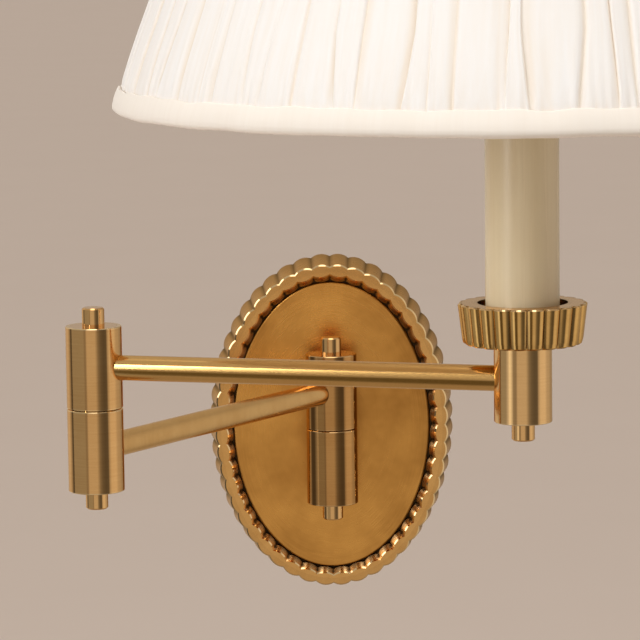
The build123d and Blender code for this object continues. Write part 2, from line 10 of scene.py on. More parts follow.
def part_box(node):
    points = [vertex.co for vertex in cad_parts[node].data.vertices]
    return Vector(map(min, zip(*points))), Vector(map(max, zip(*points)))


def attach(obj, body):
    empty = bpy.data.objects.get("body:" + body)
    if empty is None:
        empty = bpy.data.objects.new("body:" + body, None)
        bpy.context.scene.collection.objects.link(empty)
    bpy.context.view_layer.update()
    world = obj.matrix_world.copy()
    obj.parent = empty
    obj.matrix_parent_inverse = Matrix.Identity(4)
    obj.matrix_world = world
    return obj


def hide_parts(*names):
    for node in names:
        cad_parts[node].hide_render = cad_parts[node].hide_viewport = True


# Swing arm wall sconce: brass plate, hinged arms, candle lamp and a gathered cloth shade.
# Metres, in the frame of the solids: the wall is the plane Y = 0 and the light faces -Y.
MM = 0.001
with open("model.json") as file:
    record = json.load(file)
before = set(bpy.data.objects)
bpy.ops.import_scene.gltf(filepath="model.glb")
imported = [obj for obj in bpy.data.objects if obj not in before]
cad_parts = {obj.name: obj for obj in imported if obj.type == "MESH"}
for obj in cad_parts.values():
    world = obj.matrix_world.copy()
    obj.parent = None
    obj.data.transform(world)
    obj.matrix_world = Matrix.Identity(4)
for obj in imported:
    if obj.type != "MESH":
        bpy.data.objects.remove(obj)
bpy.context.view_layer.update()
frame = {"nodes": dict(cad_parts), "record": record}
nodes = frame["nodes"]

# Sizes of the solids that the finishes follow
plate_half_width = 46.1 * MM
plate_half_height = 64.35 * MM
plate_flare = 2.4 * MM
rim_width = 5.4 * MM
groove_draft = 1.7 * MM
panel_setback = 2.6 * MM
cup_top_radius = 22.2 * MM
cup_bottom_radius = 20.8 * MM

# Headings of the arms at rest, in degrees from +X
rear_arm_heading = 237.1
front_arm_heading = 344.4

# Sizes of the shade's solids
cone_bottom_radius = 140.0 * MM
cone_top_radius = 75.0 * MM
hold_radius = 135.1 * MM
gather_depth = 1.7 * MM
cover_thickness = 0.8 * MM
cloth_gap = 0.3 * MM
bottom_trim_radius = 138.9 * MM
top_trim_radius = 77.4 * MM
trim_lip = 1.0 * MM
fold_count = 76
fold_unevenness = 0.24
fold_waves = (2.4, 5.3)
fold_wave_share = 0.6

# The cloth as it is cut
cover_flat = (0.94, 0.17)
lining_flat = (0.82, 0.163)
trim_flat_width = 26.0 * MM

# Folds of the gathered cover, which are finer than its solid's
hold_rise = 8.0 * MM  # rise in which the drawn-in cover comes most of the way out to its straight side
columns_per_fold = 18
cover_rows = 46
row_crowding = 0.10  # rows stand closer together near the two trims
drift_onset = 6  # how soon above the lower trim the laps begin to drift
turn_share = 0.10  # share of a fold's width in which its edge turns under
soft_power = 1.6  # how softly the other edge comes up
shared_reach = 0.4  # a fold with two soft edges keeps them this much shorter
lip_height = 0.14 * MM
belly_height = 0.5 * MM
pucker_height = 0.26 * MM
crease_height = 0.13 * MM
# Painted fold shade: a warmer tone in the hollows, from this far behind the folds to full this much further
# in
fold_shade_start = 0.15 * MM  # a hollow's warmer tone begins this far behind the folds
fold_shade_depth = 0.8 * MM  # and is full this much further in

tube_low, tube_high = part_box("candle_tube")
lamp_x = (tube_low.x + tube_high.x) / 2
lamp_y = (tube_low.y + tube_high.y) / 2
bottom_trim_low, bottom_trim_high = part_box("shade_bottom_trim")
top_trim_low, top_trim_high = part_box("shade_top_trim")
cover_low, cover_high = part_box("shade_cover")
lining_low, lining_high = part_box("shade_lining")
shade_low = bottom_trim_low.z
shade_high = top_trim_high.z


def cone_radius(height):
    """Radius over the folds where the cover runs straight."""
    share = (height - shade_low) / (shade_high - shade_low)
    return cone_bottom_radius + share * (cone_top_radius - cone_bottom_radius)


def cover_profile(height):
    """Radius over the folds: straight, and drawn in a little towards the lower trim."""
    above = np.maximum(height - bottom_trim_high.z, 0)
    drawn_in = cone_radius(bottom_trim_high.z) - hold_radius
    return cone_radius(bottom_trim_high.z + above) - drawn_in * np.exp(-above / hold_rise)


# Shader helpers
def new_material(name):
    """A new material with its nodes and links."""
    material = bpy.data.materials.new(name)
    material.use_nodes = True
    return material, material.node_tree.nodes, material.node_tree.links


def new_group(name, inputs, outputs):
    """An empty shader group with named sockets."""
    group = bpy.data.node_groups.new(name, "ShaderNodeTree")
    for way, sockets in (("INPUT", inputs), ("OUTPUT", outputs)):
        for label, kind in sockets:
            group.interface.new_socket(label, in_out=way, socket_type=kind)
    source = group.nodes.new("NodeGroupInput")
    sink = group.nodes.new("NodeGroupOutput")
    return group, source, sink


def set_inputs(node, values):
    """Sets a node's sockets by their names."""
    for label, value in values.items():
        node.inputs[label].default_value = value


def feed(tree, value, socket):
    """Sets a socket to a number or a colour, or links another socket to it."""
    if isinstance(value, tuple):
        socket.default_value = (*value, 1.0)
    elif isinstance(value, (int, float)):
        socket.default_value = value
    else:
        tree.links.new(value, socket)


def object_place(tree, scale=(1, 1, 1), turn=(0, 0, 0), shift=(0, 0, 0)):
    """Object coordinates, scaled, turned and moved."""
    coordinates = tree.nodes.new("ShaderNodeTexCoord")
    mapping = tree.nodes.new("ShaderNodeMapping")
    set_inputs(mapping, {"Location": shift, "Rotation": turn, "Scale": scale})
    tree.links.new(coordinates.outputs["Object"], mapping.inputs["Vector"])
    return mapping.outputs["Vector"]


def add_math(tree, operation, first, second=None, clamp=False):
    """A maths node on sockets or numbers."""
    node = tree.nodes.new("ShaderNodeMath")
    node.operation = operation
    node.use_clamp = clamp
    feed(tree, first, node.inputs[0])
    if second is not None:
        feed(tree, second, node.inputs[1])
    return node.outputs[0]


def add_sum(tree, first, second, clamp=False):
    return add_math(tree, "ADD", first, second, clamp)


def add_product(tree, first, second, clamp=False):
    return add_math(tree, "MULTIPLY", first, second, clamp)


def add_larger(tree, first, second):
    return add_math(tree, "MAXIMUM", first, second)


def add_noise(tree, vector, scale, detail=3.0, roughness=0.6):
    """A noise pattern over a place."""
    noise = tree.nodes.new("ShaderNodeTexNoise")
    set_inputs(noise, {"Detail": detail, "Roughness": roughness})
    tree.links.new(vector, noise.inputs["Vector"])
    feed(tree, scale, noise.inputs["Scale"])
    return noise.outputs["Fac"]


def add_range(tree, value, low, high, new_low=0.0, new_high=1.0):
    """Value from one range to another, clamped."""
    node = tree.nodes.new("ShaderNodeMapRange")
    set_inputs(node, {"From Min": low, "From Max": high, "To Min": new_low, "To Max": new_high})
    tree.links.new(value, node.inputs["Value"])
    return node.outputs["Result"]


def add_mix(tree, share, first, second):
    """Two colours mixed by a mask."""
    node = tree.nodes.new("ShaderNodeMix")
    node.data_type = "RGBA"
    tree.links.new(share, node.inputs["Factor"])
    # The node's sockets for colours come after those for numbers and vectors
    feed(tree, first, node.inputs[6])
    feed(tree, second, node.inputs[7])
    return node.outputs[2]


def add_bump(tree, height, distance, strength):
    """A normal roughened by a height."""
    node = tree.nodes.new("ShaderNodeBump")
    set_inputs(node, {"Strength": strength, "Distance": distance})
    tree.links.new(height, node.inputs["Height"])
    return node.outputs["Normal"]


def add_parts(tree, vector):
    """The three parts of a vector."""
    node = tree.nodes.new("ShaderNodeSeparateXYZ")
    tree.links.new(vector, node.inputs["Vector"])
    return node.outputs["X"], node.outputs["Y"], node.outputs["Z"]


def add_vector(tree, *parts):
    """A vector from up to three sockets or numbers."""
    node = tree.nodes.new("ShaderNodeCombineXYZ")
    for value, socket in zip(parts, node.inputs):
        feed(tree, value, socket)
    return node.outputs["Vector"]


def add_length(tree, vector):
    """The length of a vector."""
    node = tree.nodes.new("ShaderNodeVectorMath")
    node.operation = "LENGTH"
    tree.links.new(vector, node.inputs[0])
    return node.outputs["Value"]


# Surfaces that several materials share
def make_brass_group():
    """Brass with brushing lines, soft tarnish clouds and fine specks."""
    group, source, sink = new_group(
        "brass_surface",
        [
            ("Lines", "NodeSocketVector"),
            ("Place", "NodeSocketVector"),
            ("Bright", "NodeSocketColor"),
            ("Aged", "NodeSocketColor"),
            ("Blotches", "NodeSocketFloat"),
            ("Tarnish", "NodeSocketFloat"),
            ("Specks", "NodeSocketFloat"),
            ("Streaks", "NodeSocketFloat"),
            ("Smooth", "NodeSocketFloat"),
            ("Rough", "NodeSocketFloat"),
        ],
        [("Color", "NodeSocketColor"), ("Roughness", "NodeSocketFloat"), ("Height", "NodeSocketFloat")],
    )
    given = source.outputs
    lines = add_noise(group, given["Lines"], 1.0)
    blotch = add_noise(group, given["Place"], given["Blotches"], detail=4.0)
    specks = add_noise(group, given["Place"], 900.0, detail=2.0, roughness=0.5)
    soft = add_range(group, blotch, 0.30, 0.72)
    dust = add_product(group, add_range(group, specks, 0.62, 0.75), given["Specks"])
    streak = add_product(group, add_range(group, lines, 0.3, 0.7), given["Streaks"])
    marks = add_sum(group, soft, add_sum(group, dust, streak))
    aged = add_product(group, marks, given["Tarnish"], clamp=True)
    group.links.new(add_mix(group, aged, given["Bright"], given["Aged"]), sink.inputs["Color"])
    spread = add_math(group, "SUBTRACT", given["Rough"], given["Smooth"])
    uneven = add_sum(group, add_product(group, lines, 0.7), add_product(group, soft, 0.3))
    rough = add_sum(group, given["Smooth"], add_product(group, spread, uneven))
    group.links.new(rough, sink.inputs["Roughness"])
    group.links.new(add_sum(group, lines, add_product(group, specks, 0.25)), sink.inputs["Height"])
    return group


def make_weave_group():
    """Plain-woven cloth: crossing threads with slubs, as a height, the threads and the slubs."""
    group, source, sink = new_group(
        "plain_weave",
        [
            ("Place", "NodeSocketVector"),
            ("Threads", "NodeSocketFloat"),
            ("Slubs", "NodeSocketFloat"),
        ],
        [("Height", "NodeSocketFloat"), ("Shade", "NodeSocketFloat"), ("Slub", "NodeSocketFloat")],
    )
    given = source.outputs
    width, length, _ = add_parts(group, given["Place"])
    across = add_math(group, "SINE", add_product(group, width, given["Threads"]))
    along = add_math(group, "SINE", add_product(group, length, given["Threads"]))
    weave = add_range(group, add_product(group, across, along), -1.0, 1.0)
    drawn = group.nodes.new("ShaderNodeMapping")
    drawn.inputs["Scale"].default_value = (1.0, 0.05, 1.0)
    group.links.new(given["Place"], drawn.inputs["Vector"])
    slub = add_noise(group, drawn.outputs["Vector"], given["Slubs"], detail=4.0, roughness=0.65)
    height = add_sum(group, add_product(group, weave, 0.15), slub)
    group.links.new(height, sink.inputs["Height"])
    group.links.new(weave, sink.inputs["Shade"])
    group.links.new(slub, sink.inputs["Slub"])
    return group


brass_surface = make_brass_group()
plain_weave = make_weave_group()

# Colours of the brass, and the scales of its brushing lines round a barrel and round a tube
golden = (0.86, 0.515, 0.20)
amber = (0.70, 0.37, 0.12)
# The lamp barrel's paler copy of the brass is painted highlight, and the wall knuckles' duller copy is
# painted shade
lamp_lit_golden = (0.92, 0.57, 0.24)
lamp_lit_amber = (0.76, 0.45, 0.17)
wall_shade_golden = (0.62, 0.33, 0.11)
wall_shade_amber = (0.48, 0.23, 0.065)
glancing_brass = (0.95, 0.80, 0.58)
# Paler brass for rubbed wear that also stands for painted highlight, and dark wax that also stands for
# painted shade in recesses
rubbed_and_highlight_brass = (0.94, 0.68, 0.36)
wax_and_shade_dark = (0.055, 0.031, 0.013)
barrel_lines = (70, 70, 1700)
arm_lines = (2200, 80, 80)
cast_grain = (500, 500, 500)

# Fine relief of the surfaces, and the cloth's slubs
grain_height = 0.05 * MM
drawn_height = 0.03 * MM
weave_height = 0.12 * MM
slubs_per_metre = 500.0


# Brass finishes
def brass(name, bright, aged, line_scale, line_turn=(0, 0, 0), blotch=40.0, tarnish=0.5, specks=0.3,
          streaks=0.45, smooth=0.2, rough=0.34, bump=0.15, lacquer=0.5):
    """A brass finish; line_scale stretches the brushing lines along the piece's own direction."""
    material, made, links = new_material(name)
    tree = material.node_tree
    shader = made["Principled BSDF"]
    set_inputs(shader, {
        "Metallic": 1.0,
        "Specular Tint": (*glancing_brass, 1),
        "Coat Weight": lacquer,
        "Coat Roughness": 0.1,
    })
    surface = made.new("ShaderNodeGroup")
    surface.name = "brass_surface"
    surface.node_tree = brass_surface
    if line_scale:
        links.new(object_place(tree, line_scale, line_turn), surface.inputs["Lines"])
    links.new(object_place(tree), surface.inputs["Place"])
    set_inputs(surface, {
        "Bright": (*bright, 1),
        "Aged": (*aged, 1),
        "Blotches": blotch,
        "Tarnish": tarnish,
        "Specks": specks,
        "Streaks": streaks,
        "Smooth": smooth,
        "Rough": rough,
    })
    links.new(surface.outputs["Color"], shader.inputs["Base Color"])
    links.new(surface.outputs["Roughness"], shader.inputs["Roughness"])
    normal = add_bump(tree, surface.outputs["Height"], grain_height, bump)
    links.new(normal, shader.inputs["Normal"])
    return material


def add_wax_and_shade(material, mask):
    """Dark wax left in the hollows of a cast piece, and painted shade in its recesses: browner and duller
    where the mask is high.
    """
    tree = material.node_tree
    shader = tree.nodes["Principled BSDF"]
    bare = shader.inputs["Base Color"].links[0].from_socket
    satin = shader.inputs["Roughness"].links[0].from_socket
    tree.links.new(add_mix(tree, mask, bare, wax_and_shade_dark), shader.inputs["Base Color"])
    dulled = add_sum(tree, satin, add_product(tree, mask, 0.25))
    tree.links.new(dulled, shader.inputs["Roughness"])


def add_rub_and_highlight(material, mask):
    """Edges rubbed bright by handling, and painted highlight along them: paler and smoother where the mask
    is high.
    """
    tree = material.node_tree
    shader = tree.nodes["Principled BSDF"]
    aged = shader.inputs["Base Color"].links[0].from_socket
    satin = shader.inputs["Roughness"].links[0].from_socket
    tree.links.new(add_mix(tree, mask, aged, rubbed_and_highlight_brass), shader.inputs["Base Color"])
    polished = add_product(tree, satin, add_range(tree, mask, 0.0, 1.0, 1.0, 0.4))
    tree.links.new(polished, shader.inputs["Roughness"])


def add_past_oval(tree, place, half_width, half_height, depth, spread):
    """How far a point lies outside an oval that grows by spread from the front down to a depth."""
    across, behind, along = place
    grown = add_range(tree, behind, 0.0, depth, 0.0, spread)
    across = add_math(tree, "DIVIDE", across, add_sum(tree, grown, half_width))
    along = add_math(tree, "DIVIDE", along, add_sum(tree, grown, half_height))
    past = add_math(tree, "SUBTRACT", add_length(tree, add_vector(tree, across, along)), 1.0)
    return add_product(tree, past, (half_width + half_height) / 2)


def make_ring_brass():
    """Cast ring: satin front, edges painted paler as rubbed wear and painted highlight, and dark wax with
    painted shade in the groove, between the reeds and down the side.
    """
    material = brass("cast_brass_ring", (0.84, 0.475, 0.16), (0.68, 0.345, 0.10), cast_grain, blotch=110.0,
                     tarnish=0.45, smooth=0.16, rough=0.30, bump=0.1, lacquer=0.0)
    tree = material.node_tree
    ring_low, ring_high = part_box("backplate_rim")
    ring_depth = ring_high.y - ring_low.y
    middle_z = (ring_low.z + ring_high.z) / 2
    place = add_parts(tree, object_place(tree, shift=(0, -ring_low.y, -middle_z)))
    behind = place[1]
    past_outer = add_past_oval(tree, place, plate_half_width, plate_half_height, ring_depth, plate_flare)
    past_inner = add_past_oval(tree, place, plate_half_width - rim_width, plate_half_height - rim_width,
                               panel_setback, -groove_draft)
    off_front = add_range(tree, behind, 0.4 * MM, 1.4 * MM)
    inside = add_math(tree, "LESS_THAN", past_outer, -rim_width / 2)

    # Inside, dark wax and painted shade fill the groove's floor and the valleys between the reeds, painted
    # shade deepens into the recess, and all of it ends behind the panel
    inner_valley = add_range(tree, past_inner, 0.35 * MM, 0.95 * MM, 0.15, 0.95)
    groove_floor = add_range(tree, behind, panel_setback - 0.1 * MM, panel_setback + 0.6 * MM)
    deep_painted_shade = add_range(tree, behind, 0.9 * MM, panel_setback, 0.2, 0.75)
    inner_wax_and_shade = add_larger(tree, add_larger(tree, inner_valley, deep_painted_shade), groove_floor)
    before_back = add_range(tree, behind, panel_setback + 3.2 * MM, panel_setback + 5.0 * MM, 1.0, 0.2)
    inner_wax_and_shade = add_product(tree, before_back, add_product(tree, off_front, inner_wax_and_shade))

    # Outside, painted shade browns the side towards the wall, and wax with painted shade darkens it more
    # between the reeds
    outer_valley = add_range(tree, past_outer, -0.30 * MM, -0.95 * MM, 0.0, 0.5)
    side_painted_shade = add_range(tree, behind, 1.0 * MM, ring_depth, 0.08, 0.40)
    outer_wax_and_shade = add_sum(tree, side_painted_shade, add_product(tree, off_front, outer_valley), clamp=True)

    # The front edges and the tips of the inner reeds are painted paler, as rubbed wear and painted highlight
    edge_start = add_range(tree, behind, 0.02 * MM, 0.12 * MM)
    edge_end = add_range(tree, behind, 0.65 * MM, 0.95 * MM, 1.0, 0.0)
    front_edge = add_product(tree, edge_start, edge_end)
    reed_tip = add_product(tree, inside, add_range(tree, past_inner, 0.35 * MM, 1.4 * MM, 0.85, 0.4))
    add_rub_and_highlight(material, add_larger(tree, front_edge, add_product(tree, off_front, reed_tip)))
    inner_extra = add_product(tree, inside, add_math(tree, "SUBTRACT", inner_wax_and_shade, outer_wax_and_shade))
    add_wax_and_shade(material, add_sum(tree, outer_wax_and_shade, inner_extra))
    return material


def make_panel_brass():
    """Flat panel: aged amber brass in soft clouds, brushed round and round near its oval edge."""
    material = brass("panel_brass_aged", (0.89, 0.445, 0.106), (0.48, 0.21, 0.043), None, blotch=27.0,
                     tarnish=0.95, specks=0.05, smooth=0.22, rough=0.36, bump=0.02, lacquer=0.0)
    line_count = 75.0
    line_breaks = 4.0
    tree = material.node_tree
    panel_low, panel_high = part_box("backplate_panel")
    half_width = (panel_high.x - panel_low.x) / 2
    half_height = (panel_high.z - panel_low.z) / 2
    middle_z = (panel_low.z + panel_high.z) / 2
    oval = object_place(tree, (1 / half_width, 0, 1 / half_height), shift=(0, 0, -middle_z / half_height))
    across, _, along = add_parts(tree, oval)
    heading = add_math(tree, "ARCTAN2", across, along)
    outward = add_length(tree, oval)
    rings = add_product(tree, outward, line_count)
    turn = add_product(tree, add_math(tree, "SINE", heading), line_breaks)
    lean = add_product(tree, add_math(tree, "COSINE", heading), line_breaks)
    surface = tree.nodes["brass_surface"]
    tree.links.new(add_vector(tree, turn, rings, lean), surface.inputs["Lines"])
    tree.links.new(add_range(tree, outward, 0.78, 0.97, 0.05, 0.26), surface.inputs["Streaks"])
    return material


def make_cup_brass():
    """Cast cup: bright reeds, an upper edge painted paler as rubbed wear and painted highlight, and dark wax
    with painted shade in the grooves and down inside the rim.
    """
    material = brass("cast_brass_cup", (0.87, 0.525, 0.175), (0.67, 0.375, 0.105), (60, 60, 400),
                     blotch=150.0, tarnish=0.6, smooth=0.06, rough=0.18, bump=0.06, lacquer=0.2)
    tree = material.node_tree
    cup_low, cup_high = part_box("candle_cup")
    cup_height = cup_high.z - cup_low.z
    place = object_place(tree, shift=(-lamp_x, -lamp_y, -cup_low.z))
    across, along, above = add_parts(tree, place)
    tips = add_range(tree, above, 0.0, cup_height, cup_bottom_radius, cup_top_radius)
    behind = add_math(tree, "SUBTRACT", tips, add_length(tree, add_vector(tree, across, along)))
    top_edge = add_range(tree, above, cup_height - 0.7 * MM, cup_height - 0.3 * MM)
    outer_lip = add_range(tree, behind, 0.7 * MM, 1.2 * MM, 1.0, 0.0)
    add_rub_and_highlight(material, add_product(tree, top_edge, outer_lip))
    groove = add_range(tree, behind, 0.65 * MM, 1.10 * MM, 0.0, 0.6)
    outer_side = add_range(tree, behind, 1.15 * MM, 1.40 * MM, 1.0, 0.0)
    # Painted shade darkens the cup down inside its rim
    inside = add_range(tree, behind, 4.5 * MM, 8.0 * MM, 0.05, 0.45)
    add_wax_and_shade(material, add_sum(tree, add_product(tree, groove, outer_side), inside, clamp=True))
    return material


def turned_barrel(node, bright, aged, lacquer=0.5, rubbed=1.0):
    """Turned barrel: fine brushing round it, and its two ends painted paler as rubbed wear and painted
    highlight.
    """
    material = brass("satin_brass_" + node, bright, aged, barrel_lines, tarnish=0.45, streaks=0.8,
                     smooth=0.04, rough=0.12, bump=0.09, lacquer=lacquer)
    bright_end = 0.25 * MM
    plain_start = 0.6 * MM
    tree = material.node_tree
    low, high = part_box(node)
    above = add_parts(tree, object_place(tree))[2]
    foot = add_range(tree, above, low.z + bright_end, low.z + plain_start, 1.0, 0.0)
    head = add_range(tree, above, high.z - plain_start, high.z - bright_end)
    add_rub_and_highlight(material, add_product(tree, add_larger(tree, foot, head), rubbed))
    return material


def make_rear_arm_brass():
    """Rear tube: pale satin brass with fine brushing round it."""
    turn = (0, 0, math.radians(-rear_arm_heading))
    return brass("satin_brass_rear_arm", (0.95, 0.60, 0.24), (0.74, 0.41, 0.13), arm_lines, turn,
                 blotch=60.0, tarnish=0.55, smooth=0.14, rough=0.28, lacquer=0.3)


def make_front_arm_brass():
    """Front tube: smoother brass under a fuller lacquer."""
    turn = (0, 0, math.radians(-front_arm_heading))
    return brass("satin_brass_front_arm", (0.88, 0.53, 0.18), (0.74, 0.40, 0.11), arm_lines, turn,
                 tarnish=0.4, smooth=0.12, rough=0.22, bump=0.02, lacquer=0.6)


# Other finishes
def moulded(name, light, dark, rough, metallic=0.0):
    """A plain moulded, painted or plated finish with faint mottling and fine grain."""
    material, made, links = new_material(name)
    tree = material.node_tree
    shader = made["Principled BSDF"]
    shader.inputs["Metallic"].default_value = metallic
    place = object_place(tree)
    mottle = add_range(tree, add_noise(tree, place, 90.0, detail=4.0), 0.3, 0.7)
    fine = add_noise(tree, place, 500.0)
    links.new(add_mix(tree, mottle, light, dark), shader.inputs["Base Color"])
    links.new(add_range(tree, fine, 0.3, 0.7, rough - 0.06, rough + 0.06), shader.inputs["Roughness"])
    links.new(add_bump(tree, fine, grain_height, 0.1), shader.inputs["Normal"])
    return material


def make_candle_ivory():
    """Ivory sleeve: satin, with faint lengthwise drawing marks and slight yellowing."""
    material, made, links = new_material("candle_ivory_satin")
    tree = material.node_tree
    shader = made["Principled BSDF"]
    shader.inputs["Specular IOR Level"].default_value = 0.55
    drawn = add_noise(tree, object_place(tree, (700, 700, 9)), 1.0)
    yellowing = add_noise(tree, object_place(tree, (30, 30, 14)), 1.0)
    tone = add_sum(tree, add_product(tree, drawn, 0.35), add_product(tree, yellowing, 0.65))
    shade = add_range(tree, tone, 0.35, 0.65)
    links.new(add_mix(tree, shade, (0.83, 0.69, 0.455), (0.77, 0.61, 0.38)), shader.inputs["Base Color"])
    links.new(add_range(tree, drawn, 0.3, 0.7, 0.18, 0.30), shader.inputs["Roughness"])
    links.new(add_bump(tree, drawn, drawn_height, 0.12), shader.inputs["Normal"])
    return material


def make_bulb_glass():
    """Frosted bulb glass with a faint cloudy coating."""
    material, made, links = new_material("bulb_glass_frosted")
    tree = material.node_tree
    shader = made["Principled BSDF"]
    set_inputs(shader, {"Transmission Weight": 0.25, "IOR": 1.45})
    cloud = add_noise(tree, object_place(tree, (60, 60, 60)), 1.0, detail=4.0)
    links.new(add_mix(tree, cloud, (0.93, 0.92, 0.89), (0.86, 0.85, 0.82)), shader.inputs["Base Color"])
    links.new(add_range(tree, cloud, 0.3, 0.7, 0.38, 0.50), shader.inputs["Roughness"])
    return material


def cloth(name, light, dark, threads, attribute=None):
    """Woven cotton on its own UV map; the fold attribute paints warm shade into the hollows of gathered
    cloth.
    """
    material, made, links = new_material(name)
    tree = material.node_tree
    shader = made["Principled BSDF"]
    set_inputs(shader, {"Specular IOR Level": 0.2, "Sheen Weight": 0.15, "Sheen Roughness": 0.5})
    flat = made.new("ShaderNodeUVMap")
    weave = made.new("ShaderNodeGroup")
    weave.node_tree = plain_weave
    set_inputs(weave, {"Threads": threads, "Slubs": slubs_per_metre})
    links.new(flat.outputs["UV"], weave.inputs["Place"])
    shade = add_range(tree, weave.outputs["Slub"], 0.3, 0.7, 0.0, 0.35)
    shade = add_sum(tree, shade, add_product(tree, weave.outputs["Shade"], 0.15))
    if attribute:
        # The fold attribute paints warm shade into the hollows between folds
        fold = made.new("ShaderNodeAttribute")
        fold.attribute_name = attribute
        shade = add_sum(tree, shade, add_product(tree, fold.outputs["Fac"], 0.8), clamp=True)
    links.new(add_mix(tree, shade, light, dark), shader.inputs["Base Color"])
    links.new(add_range(tree, weave.outputs["Slub"], 0.3, 0.7, 0.82, 0.95), shader.inputs["Roughness"])
    links.new(add_bump(tree, weave.outputs["Height"], weave_height, 0.25), shader.inputs["Normal"])
    return material


# The finish of each slot, and of the pieces that have one of their own
# The darker cotton tone is the weave's slubs, and on the gathered cover also painted shade in the fold
# hollows
cotton_slub_and_fold_shade = (0.85, 0.75, 0.645)
finishes = {
    "satin_brass": brass("satin_brass_turned", golden, amber, barrel_lines, tarnish=0.35, smooth=0.06,
                         rough=0.16, bump=0.07),
    "polished_brass": brass("polished_brass_pin", golden, amber, barrel_lines, tarnish=0.3, smooth=0.05,
                            rough=0.14, bump=0.05),
    "panel_brass": make_panel_brass(),
    "earth_brass": brass("earth_screw_brass", golden, amber, (400, 400, 400)),
    "zinc_steel": moulded("zinc_plated_steel", (0.70, 0.70, 0.69), (0.58, 0.58, 0.57), 0.34, metallic=1.0),
    "washer_nylon": moulded("washer_nylon_white", (0.82, 0.81, 0.77), (0.76, 0.75, 0.70), 0.5),
    "terminal_nylon": moulded("terminal_nylon_white", (0.84, 0.83, 0.79), (0.77, 0.76, 0.71), 0.5),
    "candle_ivory": make_candle_ivory(),
    "holder_plastic": moulded("holder_plastic_ivory", (0.80, 0.76, 0.66), (0.74, 0.69, 0.58), 0.42),
    "bulb_cap_metal": moulded("bulb_cap_nickel", (0.76, 0.75, 0.73), (0.66, 0.65, 0.62), 0.28, metallic=1.0),
    "bulb_glass": make_bulb_glass(),
    "frame_white": moulded("frame_white_paint", (0.82, 0.81, 0.78), (0.76, 0.74, 0.70), 0.38),
    "lining_cloth": cloth("lining_cotton", (0.84, 0.81, 0.76), (0.78, 0.74, 0.67), 12500.0),
    "shade_cloth": cloth("gathered_cotton", (0.90, 0.865, 0.84), cotton_slub_and_fold_shade, 11000.0, attribute="fold"),
    "trim_cloth": cloth("trim_cotton", (0.90, 0.82, 0.735), cotton_slub_and_fold_shade, 12000.0),
}
own_finishes = {
    "backplate_rim": make_ring_brass(),
    "candle_cup": make_cup_brass(),
    "rear_arm_tube": make_rear_arm_brass(),
    "front_arm_tube": make_front_arm_brass(),
    # The lamp barrel gets a paler copy of the brass as painted highlight
    "lamp_barrel": turned_barrel("lamp_barrel", lamp_lit_golden, lamp_lit_amber),
}
# The wall knuckles get a duller copy of the brass as painted shade, and less of the paler ends
for knuckle in ("wall_knuckle_lower", "wall_knuckle_upper"):
    own_finishes[knuckle] = turned_barrel(knuckle, wall_shade_golden, wall_shade_amber, lacquer=0.15, rubbed=0.4)
for knuckle in ("elbow_knuckle_lower", "elbow_knuckle_upper"):
    own_finishes[knuckle] = turned_barrel(knuckle, golden, amber)


def finish_solids():
    """Each carried-over solid gets its own finish or the one of its slot."""
    for row in frame["record"]["subparts"]:
        solid = nodes[row["node"]]
        finish = own_finishes.get(row["node"]) or finishes[row["material_slot"]]
        solid.data.materials.clear()
        solid.data.materials.append(finish)


# Cloth pieces
def cut_cloth(name, columns, rows, width, length):
    """A flat strip of cloth as a grid, with its UV map in metres of the cut."""
    bpy.ops.object.select_all(action="DESELECT")
    bpy.ops.mesh.primitive_grid_add(x_subdivisions=columns, y_subdivisions=rows, size=1.0)
    strip = bpy.context.object
    strip.name = name
    strip.data.name = name
    flat = strip.data.uv_layers.active.data
    places = np.zeros(len(flat) * 2)
    flat.foreach_get("uv", places)
    places = places.reshape(-1, 2) * (width, length)
    flat.foreach_set("uv", places.ravel())
    return strip


def grid_shares(strip):
    """Share across and up the flat strip of each of its points."""
    flat = np.zeros(len(strip.data.vertices) * 3)
    strip.data.vertices.foreach_get("co", flat)
    flat = flat.reshape(-1, 3) + 0.5
    return flat[:, 0], flat[:, 1]


def wrap(strip, angle, radius, height):
    """Places the strip's points round the lamp's axis and closes its seam."""
    seam_gap = 0.005 * MM
    points = np.stack([lamp_x + radius * np.cos(angle), lamp_y + radius * np.sin(angle), height], axis=1)
    strip.data.vertices.foreach_set("co", points.ravel())
    strip.data.update()
    bpy.ops.object.mode_set(mode="EDIT")
    bpy.ops.mesh.select_all(action="SELECT")
    bpy.ops.mesh.remove_doubles(threshold=seam_gap)
    bpy.ops.mesh.normals_make_consistent(inside=False)
    bpy.ops.object.mode_set(mode="OBJECT")
    bpy.ops.object.shade_smooth()


def fold_starts():
    """Uneven angles of the folds, the same as the solid's, and the first one again after a full turn."""
    index = np.arange(fold_count)
    shift = np.sin(fold_waves[0] * index) + fold_wave_share * np.sin(fold_waves[1] * index)
    angles = math.tau * (index + fold_unevenness * shift) / fold_count
    return np.append(angles, angles[0] + math.tau)


def draw_folds():
    """What chance gives each lap between two folds and each fold; the last lap is the first one again."""
    chance = np.random.default_rng(41)
    count = fold_count + 1
    folds = SimpleNamespace(
        drift_size=chance.normal(0, 0.20, count),
        drift_rate=chance.uniform(1.5, 4.0, count),
        drift_phase=chance.uniform(0, math.tau, count),
        depth_low=chance.uniform(0.6, 1.4, count) * MM,
        depth_high=chance.uniform(0.4, 1.0, count) * MM,
        fade=chance.uniform(0.4, 0.95, count) * (chance.random(count) < 0.5),
        fade_place=chance.uniform(0.2, 0.8, count),
        dip_share=chance.uniform(0.28, 0.70, count),
        swell=chance.uniform(-0.4, 0.4, count),
        laps_back=chance.random(count) < 0.42,
    )
    for values in vars(folds).values():
        values[-1] = values[0]
    folds.start = fold_starts()
    return folds


